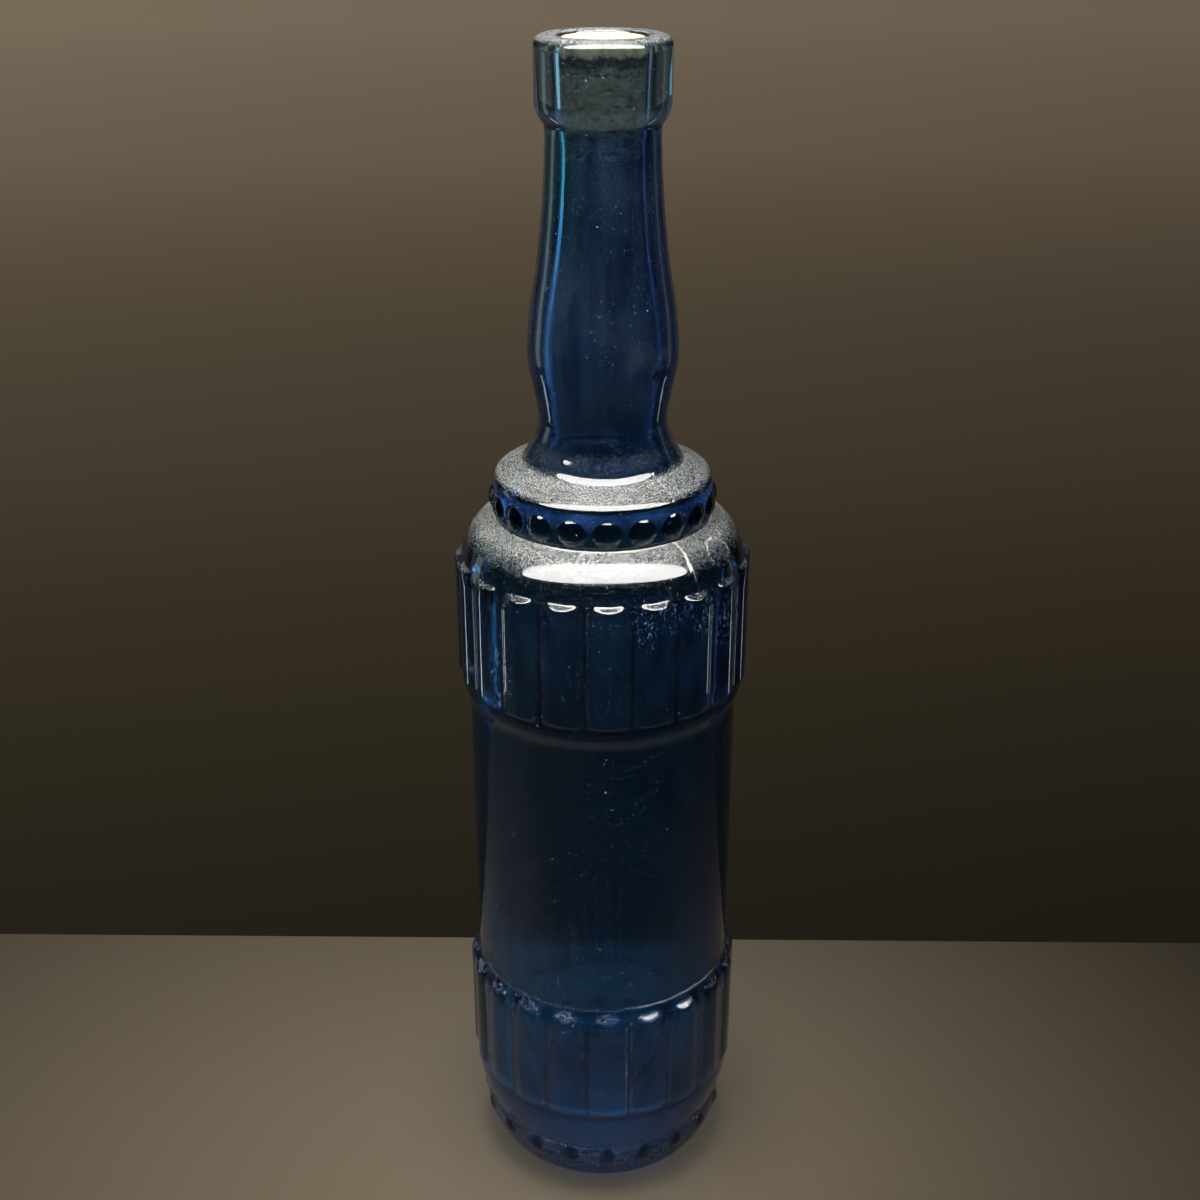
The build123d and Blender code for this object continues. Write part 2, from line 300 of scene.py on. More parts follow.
def shell(runs):
    """One closed mesh from (rows, count, kind) runs. Counts of neighbours divide each other."""
    verts, faces, last = [], [], None
    marks = {"groove": [], "inside": [], "tone": [], "dust_and_glint": [], "bead": [], "foot_shade": [], "facet": []}
    total = 0
    for rows, n, kind in runs:
        for i, (r, z) in enumerate(rows):
            if last is not None and i == 0:
                continue
            phi = np.linspace(0, 2 * math.pi, n, endpoint=False)
            rr = np.full(n, float(r))
            zz = np.full(n, float(z))
            g = np.zeros(n)
            tone, dust_and_glint, bead, foot_shade, facet = np.full(n, 0.5), np.zeros(n), np.zeros(n), np.zeros(n), np.zeros(n)
            if kind == "outer":
                base = rr.copy()
                rr = outer_radius(phi, rr, zz)
                f = np.abs((phi + PITCH / 2) % PITCH - PITCH / 2) / (PITCH / 2)
                # groove mask, which carries the painted shade in the grooves between ribs
                if 158 < z < 192 or 31 < z < 62:
                    g = np.clip((f - 0.86) / 0.08, 0, 1)
                tone = rib_tone(phi, zz)
                facet = facet_mark(phi, zz, rr, base, 39.3, 191.5, SLANT_HIGH)
                dust_and_glint = corner_lines(phi, zz)
                if 203.9 < z < 211.9 or 9.5 < z < 16.6:
                    bead = np.clip((rr - base) / 0.25, 0, 1)
                    if z > 100:
                        # dirt and a painted highlight in the corner round each bead
                        dust_and_glint = np.maximum(dust_and_glint, 0.75 * np.clip(1 - np.abs((rr - base) - 0.09) / 0.09, 0, 1))
                # the seam with dust and a painted highlight on it, a painted highlight in the corner under the bead
                # ring, stronger toward the front, and an old ring mark on the shoulder
                d = (phi - math.radians(37.0) + math.pi / 2) % math.pi - math.pi / 2
                on_dome = np.interp(z, [190, 195, 203.4, 204, 211, 213.5, 218, 219], [0, 0.8, 1.3, 0, 0, 0.4, 0.4, 0])
                dust_and_glint = np.maximum(dust_and_glint, on_dome * np.exp(-((d / math.radians(0.36)) ** 2)))
                if 202.6 < z < 204.3:
                    ahead = np.interp(np.abs((phi + math.pi) % (2 * math.pi) - math.pi), [0.7, 1.1], [1.0, 0.35])
                    dust_and_glint = np.maximum(dust_and_glint, 0.55 * ahead * math.exp(-(((z - 203.3) / 0.22) ** 2)))
                if 194 < z < 203.5:
                    a = (phi - math.radians(56.5) + math.pi) % (2 * math.pi) - math.pi
                    away = np.sqrt((a * r * 1.0) ** 2 + ((zz - 198.9) * 1.5) ** 2)
                    dust_and_glint = np.maximum(dust_and_glint, 0.55 * np.exp(-(((away - 4.4) / 0.30) ** 2)))
                # painted highlight along the ledge above the lower band, stronger on the right front
                if 66.5 < z < 69.2:
                    turn = np.degrees((phi + math.pi) % (2 * math.pi) - math.pi)
                    strong = np.interp(turn, [-180, -75, -20, 8, 18, 48, 62, 180], [0.5, 0.6, 0.5, 0.5, 1.5, 1.5, 0.6, 0.5])
                    dust_and_glint = np.maximum(dust_and_glint, strong * math.exp(-(((z - 68.0) / 0.45) ** 2)))
                # painted shade under the feet of both rib bands
                foot_shade = foot_shade + math.exp(-(((z - 29.9) / 1.0) ** 2)) + math.exp(-(((z - 157.4) / 0.8) ** 2))
                rr = rr + seam_height(phi, zz) + wave(phi, zz, 5, 0.10, 0.06, 3) * min(1.0, z / 20.0)
                # a small pit on the neck, with painted shade in its hollow, and a faint round mark on the shoulder
                if 235 < z < 253:
                    a = (phi - math.radians(39.7) + math.pi) % (2 * math.pi) - math.pi
                    d2 = (a * r / 1.15) ** 2 + ((zz - 244.1) / 1.35) ** 2
                    rr = rr - 0.62 * np.exp(-d2 * 1.4)
                    foot_shade = foot_shade + 1.2 * np.exp(-d2 * 1.3)
                if 194 < z < 203.5:
                    a = (phi - math.radians(58.7) + math.pi) % (2 * math.pi) - math.pi
                    slope = (a * r) ** 2 + ((zz - 199.3) * 1.35) ** 2
                    rr = rr + 0.10 * np.exp(-((np.sqrt(slope) - 3.6) / 0.55) ** 2)
            elif kind == "inner":
                amp = 0.30 if z < 290 else 0.0
                rr = rr + wave(phi, zz, 11, amp, 0.05, 2)
                zz = zz + (wave(phi, rr, 17, 0.25, 0.2, 2) if z < 30 else 0)
            x = rr * np.sin(phi) * MM
            y = -rr * np.cos(phi) * MM
            verts.append(np.stack([x, y, zz * MM], 1))
            for key, value in (
                ("groove", g), ("inside", np.full(n, 1.0 if kind == "inner" else 0.0)),
                ("tone", tone), ("dust_and_glint", dust_and_glint), ("bead", bead), ("foot_shade", foot_shade), ("facet", facet),
            ):
                marks[key].append(value)
            if last is not None:
                s0, n0 = last
                s1 = total
                if n0 == n:
                    for k in range(n):
                        a, b = k, (k + 1) % n
                        faces.append((s0 + a, s0 + b, s1 + b, s1 + a))
                elif n0 > n:
                    m = n0 // n
                    for k in range(n):
                        c0, c1 = s1 + k, s1 + (k + 1) % n
                        for j in range(m):
                            fa = s0 + k * m + j
                            fb = s0 + (k * m + j + 1) % n0
                            if j < m // 2:
                                faces.append((fa, fb, c0))
                            else:
                                faces.append((fa, fb, c1))
                            if j == m // 2 - 1:
                                faces.append((fb, c1, c0))
                else:
                    m = n // n0
                    for k in range(n0):
                        c0, c1 = s0 + k, s0 + (k + 1) % n0
                        for j in range(m):
                            fa = s1 + k * m + j
                            fb = s1 + (k * m + j + 1) % n
                            if j < m // 2:
                                faces.append((c0, fb, fa))
                            else:
                                faces.append((c1, fb, fa))
                            if j == m // 2 - 1:
                                faces.append((c0, c1, fb))
            last = (total, n)
            total += n
    return np.concatenate(verts), faces, {k: np.concatenate(a) for k, a in marks.items()}, last


def close_poles(verts, faces, marks, first_n, last, z_first, z_last):
    top = len(verts)
    verts = np.concatenate([verts, [[0, 0, z_first * MM], [0, 0, z_last * MM]]])
    ends = {"inside": [0, 1], "tone": [0.5, 0.5]}
    marks = {k: np.concatenate([a, ends.get(k, [0, 0])]) for k, a in marks.items()}
    for k in range(first_n):
        faces.append((top, (k + 1) % first_n, k))
    s, n = last
    for k in range(n):
        faces.append((top + 1, s + k, s + (k + 1) % n))
    return verts, faces, marks


def make(name, verts, faces):
    me = bpy.data.meshes.new(name)
    me.from_pydata([tuple(v) for v in verts], [], faces)
    me.validate()
    me.update()
    ob = bpy.data.objects.new(name, me)
    bpy.context.scene.collection.objects.link(ob)
    for p in me.polygons:
        p.use_smooth = True
    return ob


FINE, MID, SOFT = 640, 320, 160
runs = [
    (base_run[1:], SOFT, "base"),
    (low_run, FINE, "outer"),
    (body_run, MID, "outer"),
    (high_run, FINE, "outer"),
    (neck_run, MID, "outer"),
    (lip_run, MID, "lip"),
    (inner_run, SOFT, "inner"),
]
v, f, marks, last = shell(runs)
v, f, marks = close_poles(v, f, marks, SOFT, last, 8.23, 14.4)
bottle = make("bottle_glass", v, f)
for key, value in marks.items():
    att = bottle.data.attributes.new(key, "FLOAT", "POINT")
    att.data.foreach_set("value", value.astype(np.float32))


# ------------------------------------------------------------------- cork
def bore_radius(z):
    return BORE_LOW_R + (BORE_TOP_R - BORE_LOW_R) * (z - BORE_LOW_Z) / (BORE_TOP_Z - BORE_LOW_Z)


def pits(p, scale, cut, depth):
    """Depth of pores: steep sided hollows where the noise is high."""
    n = noise.noise(Vector(p) * scale)
    return depth * max(0.0, min(1.0, (n - cut) / 0.12))


def cork_mesh():
    n, z0, z1 = 224, 294.22, 321.35
    rows = []
    steps = 96
    prof = []
    for i in range(1, 19):
        prof.append((9.0 * i / 19.0, z0, "bottom"))
    for i in range(5):
        a = math.pi / 2 * i / 4
        r = bore_radius(z0) - 0.06
        prof.append((r - 0.62 + 0.62 * math.sin(a), z0 + 0.62 - 0.62 * math.cos(a), "side"))
    for i in range(1, steps):
        z = z0 + 0.62 + (z1 - z0 - 0.62 - 2.9) * i / steps
        prof.append((bore_radius(z) - 0.06, z, "side"))
    for i in range(9):
        a = math.pi / 2 * i / 8
        r = bore_radius(z1) - 0.06
        prof.append((r - 1.6 + 1.6 * math.cos(a), z1 - 2.9 + 2.9 * math.sin(a), "side"))
    for i in range(1, 26):
        r = (bore_radius(z1) - 1.66) * (1 - i / 26.0)
        prof.append((r, z1, "top"))
    verts, faces, pore = [], [], []
    for i, (r, z, kind) in enumerate(prof):
        for k in range(n):
            a = 2 * math.pi * k / n
            p = Vector((r * math.sin(a), -r * math.cos(a), z))
            # cork grain runs sideways through a stopper, with long lenticels
            q = (p.x * 0.55, p.y * 1.5, p.z * 1.15)
            d = pits(q, 0.8, 0.36, 0.40) + pits(q, 1.9, 0.34, 0.26) + pits(p, 3.4, 0.34, 0.10)
            if kind == "side":
                row = math.exp(-(((z - 313.9 - 0.5 * noise.noise(Vector((a * 4.0, 5.0, 1)))) / 0.75) ** 2))
                d += row * pits(p, 1.3, 0.12, 0.45)
            d += 0.05 * (noise.noise(p * 2.2) + 1)
            if kind == "side":
                # the torn, darker belt just below the top
                belt = math.exp(-(((z - 316.5 - 0.9 * noise.noise(Vector((a * 3.0, 2.0, 0)))) / 1.1) ** 2))
                d += belt * (0.20 + 0.45 * max(0.0, noise.noise(p * 1.1 + Vector((9, 0, 0))) + 0.15))
                rr = r - d
                verts.append((rr * math.sin(a) * MM, -rr * math.cos(a) * MM, z * MM))
                pore.append(min(1.0, d / 0.5))
            else:
                s = 1 if kind == "bottom" else -1
                swell = 0.0 if kind == "bottom" else 0.25 * (noise.noise(p * 0.16) - 0.5)
                verts.append((p.x * MM, p.y * MM, (z + s * d * 0.8 + swell) * MM))
                pore.append(min(1.0, d / 0.5))
        if i:
            for k in range(n):
                a, b = (i - 1) * n + k, (i - 1) * n + (k + 1) % n
                faces.append((a, b, b + n, a + n))
    c0 = len(verts)
    verts += [(0, 0, z0 * MM), (0, 0, (z1 - 0.15) * MM)]
    pore += [0, 0]
    for k in range(n):
        faces.append((c0, (k + 1) % n, k))
        s = (len(prof) - 1) * n
        faces.append((c0 + 1, s + k, s + (k + 1) % n))
    return verts, faces, pore


cv, cf, cp = cork_mesh()
cork = make("cork", cv, cf)
att = cork.data.attributes.new("pore", "FLOAT", "POINT")
att.data.foreach_set("value", np.array(cp, dtype=np.float32))


# -------------------------------------------------------------- materials
def new_material(name):
    m = bpy.data.materials.new(name)
    m.use_nodes = True
    nt = m.node_tree
    nt.nodes.clear()
    out = nt.nodes.new("ShaderNodeOutputMaterial")
    bsdf = nt.nodes.new("ShaderNodeBsdfPrincipled")
    nt.links.new(bsdf.outputs[0], out.inputs["Surface"])
    return m, nt, out, bsdf


def node(nt, kind, **values):
    n = nt.nodes.new(kind)
    for k, val in values.items():
        if hasattr(n, k):
            setattr(n, k, val)
        else:
            n.inputs[k].default_value = val
    return n


def ramp(nt, source, stops, mode="LINEAR"):
    n = nt.nodes.new("ShaderNodeValToRGB")
    n.color_ramp.interpolation = mode
    e = n.color_ramp.elements
    while len(e) > 1:
        e.remove(e[-1])
    e[0].position = stops[0][0]
    e[0].color = stops[0][1]
    for pos, col in stops[1:]:
        x = e.new(pos)
        x.color = col
    nt.links.new(source, n.inputs[0])
    return n


def mixc(nt, fac, a, b, blend="MIX"):
    n = nt.nodes.new("ShaderNodeMix")
    n.data_type = "RGBA"
    n.blend_type = blend
    for val, sock in ((fac, n.inputs["Factor"]), (a, n.inputs["A"]), (b, n.inputs["B"])):
        pass
    socks = [s for s in n.inputs if s.enabled]
    for s, val in zip(socks, (fac, a, b)):
        if isinstance(val, bpy.types.NodeSocket):
            nt.links.new(val, s)
        else:
            s.default_value = val
    return [s for s in n.outputs if s.enabled][0]


def maths(nt, op, a, b=None, clamp=False):
    n = nt.nodes.new("ShaderNodeMath")
    n.operation = op
    n.use_clamp = clamp
    for i, val in enumerate((a, b)):
        if val is None:
            continue
        if isinstance(val, bpy.types.NodeSocket):
            nt.links.new(val, n.inputs[i])
        else:
            n.inputs[i].default_value = val
    return n.outputs[0]


def remap(nt, value, a, b, c=0.0, d=1.0):
    n = nt.nodes.new("ShaderNodeMapRange")
    n.clamp = True
    nt.links.new(value, n.inputs[0])
    for i, val in enumerate((a, b, c, d)):
        n.inputs[i + 1].default_value = val
    return n.outputs[0]


def tex_noise(nt, vec, scale, detail=4.0, rough=0.5, dist=0.0):
    n = node(nt, "ShaderNodeTexNoise")
    n.inputs["Scale"].default_value = scale
    n.inputs["Detail"].default_value = detail
    n.inputs["Roughness"].default_value = rough
    n.inputs["Distortion"].default_value = dist
    nt.links.new(vec, n.inputs["Vector"])
    return n.outputs["Fac"]


def stretched(nt, vec, sx, sy, sz):
    n = nt.nodes.new("ShaderNodeMapping")
    n.inputs["Scale"].default_value = (sx, sy, sz)
    nt.links.new(vec, n.inputs["Vector"])
    return n.outputs[0]


# ---- glass: paler at the lip, deep blue below, dust and scratches
m_glass, nt, out, b = new_material("blue_glass")
tc = nt.nodes.new("ShaderNodeTexCoord")
obj = tc.outputs["Object"]
xyz = nt.nodes.new("ShaderNodeSeparateXYZ")
nt.links.new(obj, xyz.inputs[0])
z = xyz.outputs["Z"]
geo = nt.nodes.new("ShaderNodeNewGeometry")
nrm = nt.nodes.new("ShaderNodeSeparateXYZ")
nt.links.new(geo.outputs["Normal"], nrm.inputs[0])
def attribute(nt, name):
    n = nt.nodes.new("ShaderNodeAttribute")
    n.attribute_name = name
    return n.outputs["Fac"]


groove, inside, tone = attribute(nt, "groove"), attribute(nt, "inside"), attribute(nt, "tone")
dust_and_glint, bead, foot_shade = attribute(nt, "dust_and_glint"), attribute(nt, "bead"), attribute(nt, "foot_shade")
outside = maths(nt, "SUBTRACT", 1.0, inside, clamp=True)

# colour of the glass: teal body, cobalt neck, pale lip
lip_mask = remap(nt, z, 0.3021, 0.3029)
neck_mask = remap(nt, z, 0.218, 0.236)
cloud = tex_noise(nt, obj, 26.0, 3.0, 0.55)
streak = tex_noise(nt, stretched(nt, obj, 230.0, 230.0, 7.0), 1.0, 3.0, 0.55)
low_tint = remap(nt, z, 0.100, 0.045)
right_shade_painted = remap(nt, xyz.outputs["X"], 0.016, 0.032, 0.0, 0.8)
body_blue = mixc(nt, remap(nt, cloud, 0.35, 0.65), (0.032, 0.165, 0.42, 1), (0.044, 0.22, 0.50, 1))
body_blue = mixc(nt, maths(nt, "MULTIPLY", tone, 0.8), body_blue, (0.045, 0.15, 0.50, 1))
body_blue = mixc(nt, maths(nt, "MULTIPLY", low_tint, 0.8), body_blue, (0.018, 0.21, 0.64, 1))
neck_blue = mixc(nt, remap(nt, streak, 0.36, 0.62), (0.035, 0.12, 0.60, 1), (0.12, 0.32, 0.80, 1))
neck_blue = mixc(nt, remap(nt, tex_noise(nt, obj, 60.0, 3.0, 0.6), 0.42, 0.68, 0.0, 0.6), neck_blue, (0.22, 0.36, 0.62, 1))
# painted shade: the neck is darker on its right side
neck_blue = mixc(nt, remap(nt, xyz.outputs["X"], 0.002, 0.013, 0.0, 0.55), neck_blue, (0.055, 0.11, 0.46, 1))
# painted glint: a cyan streak down the left of the upper neck, where side light shines through
painted_glint_left = maths(nt, "MULTIPLY", remap(nt, xyz.outputs["X"], -0.0060, -0.0105), remap(nt, z, 0.266, 0.290))
neck_blue = mixc(nt, maths(nt, "MULTIPLY", painted_glint_left, 0.65), neck_blue, (0.10, 0.50, 0.66, 1))
blue = mixc(nt, neck_mask, body_blue, neck_blue)
# painted shade: the glass below the neck foot is darker on its right side
blue = mixc(nt, maths(nt, "MULTIPLY", right_shade_painted, remap(nt, z, 0.222, 0.212)), blue, (0.03, 0.08, 0.22, 1))
dome_zone = maths(nt, "MULTIPLY", remap(nt, z, 0.187, 0.193), remap(nt, nrm.outputs["Z"], 0.2, 0.6))
blue = mixc(nt, maths(nt, "MULTIPLY", dome_zone, 0.8), blue, (0.035, 0.14, 0.27, 1))
# painted shade: the grooves between the ribs are darker
blue = mixc(nt, maths(nt, "MULTIPLY", groove, 0.85), blue, (0.035, 0.05, 0.16, 1))
# painted shade: the heel beads are darker
heel_bead_shade = maths(nt, "MULTIPLY", bead, remap(nt, z, 0.020, 0.018))
blue = mixc(nt, maths(nt, "MULTIPLY", heel_bead_shade, 0.95), blue, (0.010, 0.035, 0.10, 1))
# painted shade under the rib feet and in the neck pit
blue = mixc(nt, maths(nt, "MULTIPLY", foot_shade, 0.9, clamp=True), blue, (0.035, 0.03, 0.11, 1))
# painted glow: brighter cobalt in a strip just under the upper rim
rim_glow_painted = maths(nt, "MULTIPLY", remap(nt, z, 0.2080, 0.2118), remap(nt, z, 0.2136, 0.2126))
blue = mixc(nt, maths(nt, "MULTIPLY", rim_glow_painted, 0.8), blue, (0.03, 0.17, 0.80, 1))
spot = nt.nodes.new("ShaderNodeVectorMath")
spot.operation = "DISTANCE"
nt.links.new(obj, spot.inputs[0])
spot.inputs[1].default_value = (0.0112, -0.0155, 0.2465)
smudge = maths(nt, "MULTIPLY", remap(nt, spot.outputs["Value"], 0.0095, 0.0060), remap(nt, tex_noise(nt, obj, 190.0, 3.0, 0.6), 0.44, 0.52))
smudge = maths(nt, "MULTIPLY", smudge, maths(nt, "SUBTRACT", 1.0, foot_shade, clamp=True))
blue = mixc(nt, maths(nt, "MULTIPLY", smudge, 0.5), blue, (0.26, 0.27, 0.34, 1))
colour = mixc(nt, lip_mask, blue, (0.42, 0.58, 0.79, 1))
colour = mixc(nt, inside, colour, (0.80, 0.94, 0.96, 1))

# dust: fine grey grains lie on what faces up, outside only, rubbed off the beads
up = remap(nt, nrm.outputs["Z"], 0.36, 0.80)
film = tex_noise(nt, obj, 75.0, 5.0, 0.65)
grain = tex_noise(nt, obj, 5200.0, 1.0, 0.5)
level = maths(nt, "ADD", grain, maths(nt, "MULTIPLY", up, 0.149))
level = maths(nt, "ADD", level, maths(nt, "MULTIPLY", maths(nt, "SUBTRACT", film, 0.5), 0.03))
level = maths(nt, "SUBTRACT", level, maths(nt, "MULTIPLY", bead, 0.12))
level = maths(nt, "SUBTRACT", level, remap(nt, xyz.outputs["X"], -0.004, 0.034, -0.004, 0.030))
on_band = maths(nt, "MULTIPLY", remap(nt, z, 0.156, 0.160), remap(nt, z, 0.196, 0.190))
low_band = maths(nt, "MULTIPLY", remap(nt, z, 0.012, 0.024), remap(nt, z, 0.070, 0.060))
# the pale lines: dust with painted highlights
level = maths(nt, "ADD", level, maths(nt, "MULTIPLY", dust_and_glint, remap(nt, on_band, 0.0, 1.0, 0.17, 0.09)))
level = maths(nt, "SUBTRACT", level, maths(nt, "MULTIPLY", attribute(nt, "facet"), 0.075))
heel = maths(nt, "MULTIPLY", remap(nt, z, 0.0195, 0.0175), remap(nt, z, 0.004, 0.008))
level = maths(nt, "ADD", level, maths(nt, "MULTIPLY", maths(nt, "MULTIPLY", heel, maths(nt, "SUBTRACT", 1.0, bead, clamp=True)), 0.055))
# painted glow: the lower lip takes a little cyan diffuse colour, standing in for light through the lip
lip_glow_painted = maths(nt, "MULTIPLY", lip_mask, remap(nt, z, 0.3068, 0.3032))
fine = maths(nt, "MULTIPLY", remap(nt, level, 0.715, 0.80), maths(nt, "SUBTRACT", 1.0, up, clamp=True))
fine = maths(nt, "ADD", fine, maths(nt, "MULTIPLY", remap(nt, level, 0.66, 0.86), up))
# sparse pale specks everywhere and rough scuffs on the raised ribs
speck = remap(nt, tex_noise(nt, obj, 1300.0, 1.0, 0.5), 0.768, 0.800)
speck = maths(nt, "MULTIPLY", speck, maths(nt, "MAXIMUM", remap(nt, z, 0.218, 0.215), remap(nt, z, 0.230, 0.234)))
scuff_zone = remap(nt, tex_noise(nt, stretched(nt, obj, 62.0, 62.0, 34.0), 1.0, 2.0, 0.5), 0.55, 0.64)
scuff = remap(nt, tex_noise(nt, stretched(nt, obj, 1500.0, 1500.0, 700.0), 1.0, 3.0, 0.6), 0.57, 0.66)
scuff = maths(nt, "MULTIPLY", maths(nt, "MULTIPLY", scuff, scuff_zone), on_band)
dust = maths(nt, "MAXIMUM", fine, maths(nt, "MULTIPLY", speck, 0.55))
dust = maths(nt, "MAXIMUM", dust, maths(nt, "MULTIPLY", scuff, 0.25))
# the painted lip glow
dust = maths(nt, "MAXIMUM", dust, maths(nt, "MULTIPLY", lip_glow_painted, 0.08))
dust = maths(nt, "MAXIMUM", dust, maths(nt, "MULTIPLY", lip_mask, 0.005))
# a faint milkiness of the glass itself, in streaks on the neck and patches on the upper band
veil = maths(nt, "MULTIPLY", neck_mask, maths(nt, "SUBTRACT", 1.0, lip_mask, clamp=True))
veil = maths(nt, "MULTIPLY", veil, remap(nt, z, 0.228, 0.286, 0.12, 0.95))
veil = maths(nt, "MULTIPLY", veil, maths(nt, "ADD", remap(nt, streak, 0.40, 0.66, 0.0, 0.012), remap(nt, tex_noise(nt, obj, 60.0, 3.0, 0.6), 0.46, 0.70, 0.001, 0.010)))
patchy = remap(nt, tex_noise(nt, stretched(nt, obj, 90.0, 90.0, 45.0), 1.0, 3.0, 0.6), 0.42, 0.66, 0.001, 0.013)
veil = maths(nt, "ADD", veil, maths(nt, "MULTIPLY", on_band, patchy))
veil = maths(nt, "ADD", veil, maths(nt, "MULTIPLY", low_band, maths(nt, "MULTIPLY", patchy, 0.9)))
body_zone = maths(nt, "MULTIPLY", remap(nt, z, 0.066, 0.070), remap(nt, z, 0.120, 0.070))
veil = maths(nt, "ADD", veil, maths(nt, "MULTIPLY", body_zone, maths(nt, "MULTIPLY", patchy, 0.45)))
# brighter blue, a painted glow, just under the upper rim; brighter blue along the rib feet and in small smears above
# the lower band
clear = maths(nt, "SUBTRACT", 1.0, bead, clamp=True)
under_rim_glow_painted = maths(nt, "MULTIPLY", remap(nt, z, 0.2080, 0.2118), remap(nt, z, 0.2136, 0.2126))
veil = maths(nt, "ADD", veil, maths(nt, "MULTIPLY", maths(nt, "MULTIPLY", under_rim_glow_painted, clear), remap(nt, tex_noise(nt, obj, 85.0, 3.0, 0.6), 0.40, 0.60, 0.020, 0.085)))
ring_face = maths(nt, "MULTIPLY", remap(nt, z, 0.2036, 0.2044), remap(nt, z, 0.2130, 0.2110))
veil = maths(nt, "ADD", veil, maths(nt, "MULTIPLY", maths(nt, "MULTIPLY", ring_face, clear), 0.009))
heel_glow = maths(nt, "MULTIPLY", remap(nt, z, 0.0150, 0.0175), remap(nt, z, 0.0290, 0.0250))
veil = maths(nt, "ADD", veil, maths(nt, "MULTIPLY", heel_glow, remap(nt, tex_noise(nt, obj, 110.0, 3.0, 0.6), 0.35, 0.65, 0.003, 0.014)))
feet = maths(nt, "MULTIPLY", remap(nt, z, 0.0318, 0.0324), remap(nt, z, 0.0345, 0.0328))
veil = maths(nt, "ADD", veil, maths(nt, "MULTIPLY", feet, remap(nt, tex_noise(nt, obj, 45.0, 2.0, 0.5), 0.35, 0.6, 0.010, 0.050)))
smear = maths(nt, "MULTIPLY", remap(nt, tex_noise(nt, stretched(nt, obj, 210.0, 210.0, 330.0), 1.0, 3.0, 0.6), 0.60, 0.72), maths(nt, "MULTIPLY", remap(nt, z, 0.066, 0.069), remap(nt, z, 0.098, 0.072)))
veil = maths(nt, "ADD", veil, maths(nt, "MULTIPLY", smear, 0.035))
veil = maths(nt, "ADD", veil, maths(nt, "MULTIPLY", smudge, 0.012))
dust = maths(nt, "MAXIMUM", dust, veil)
dust = maths(nt, "MULTIPLY", dust, outside, clamp=True)
dust_colour = mixc(nt, film, (0.35, 0.345, 0.305, 1), (0.46, 0.455, 0.395, 1))
# the pale lines on steep faces, dust with a painted reflection, are greyer
dust_colour = mixc(nt, maths(nt, "MULTIPLY", dust_and_glint, remap(nt, nrm.outputs["Z"], 0.3, 0.1)), dust_colour, (0.27, 0.27, 0.30, 1))
# the painted lip glow is cyan
dust_colour = mixc(nt, lip_glow_painted, dust_colour, (0.08, 0.52, 0.76, 1))
colour = mixc(nt, maths(nt, "MULTIPLY", dust, maths(nt, "ADD", 1.0, up), clamp=True), colour, dust_colour)
nt.links.new(colour, b.inputs["Base Color"])
nt.links.new(maths(nt, "SUBTRACT", 1.0, dust, clamp=True), b.inputs["Transmission Weight"])
rough = maths(nt, "ADD", maths(nt, "MULTIPLY", up, 0.135), 0.012)
dull_neck = maths(nt, "MULTIPLY", remap(nt, z, 0.282, 0.258), remap(nt, z, 0.212, 0.222))
dull_body = maths(nt, "MULTIPLY", remap(nt, z, 0.195, 0.185), remap(nt, z, 0.016, 0.030))
dull = maths(nt, "ADD", maths(nt, "MULTIPLY", dull_neck, 0.17), maths(nt, "MULTIPLY", dull_body, 0.13))
rough = maths(nt, "ADD", rough, maths(nt, "MULTIPLY", dull, inside))
rough = maths(nt, "ADD", rough, maths(nt, "MULTIPLY", dust, 0.5), clamp=True)
nt.links.new(rough, b.inputs["Roughness"])
b.inputs["IOR"].default_value = 1.5
bump1 = nt.nodes.new("ShaderNodeBump")
bump1.inputs["Strength"].default_value = 0.35
bump1.inputs["Distance"].default_value = 0.0006
high = maths(nt, "ADD", maths(nt, "MULTIPLY", cloud, 0.7), maths(nt, "MULTIPLY", streak, remap(nt, nrm.outputs["Z"], 0.15, 0.4, 0.22, 0.0)))
high = maths(nt, "ADD", high, maths(nt, "MULTIPLY", scuff, 0.12))
nt.links.new(high, bump1.inputs["Height"])
nt.links.new(bump1.outputs[0], b.inputs["Normal"])
vol = nt.nodes.new("ShaderNodeVolumeAbsorption")
vol.inputs["Color"].default_value = (0.18, 0.62, 0.74, 1)
vol.inputs["Density"].default_value = 45.0
nt.links.new(vol.outputs[0], out.inputs["Volume"])
bottle.data.materials.append(m_glass)

# ---- cork
m_cork, nt, out, b = new_material("cork")
tc = nt.nodes.new("ShaderNodeTexCoord")
obj = tc.outputs["Object"]
por = nt.nodes.new("ShaderNodeAttribute")
por.attribute_name = "pore"
grain = tex_noise(nt, stretched(nt, obj, 260.0, 700.0, 520.0), 1.0, 5.0, 0.62, 0.4)
fleck = tex_noise(nt, obj, 1500.0, 3.0, 0.6)
base = ramp(nt, grain, [(0.28, (0.24, 0.135, 0.062, 1)), (0.48, (0.50, 0.33, 0.18, 1)), (0.70, (0.70, 0.52, 0.33, 1))]).outputs[0]
base = mixc(nt, remap(nt, fleck, 0.60, 0.70, 0.0, 0.55), base, (0.16, 0.085, 0.04, 1))
base = mixc(nt, maths(nt, "MULTIPLY", por.outputs["Fac"], 0.85), base, (0.060, 0.034, 0.018, 1))
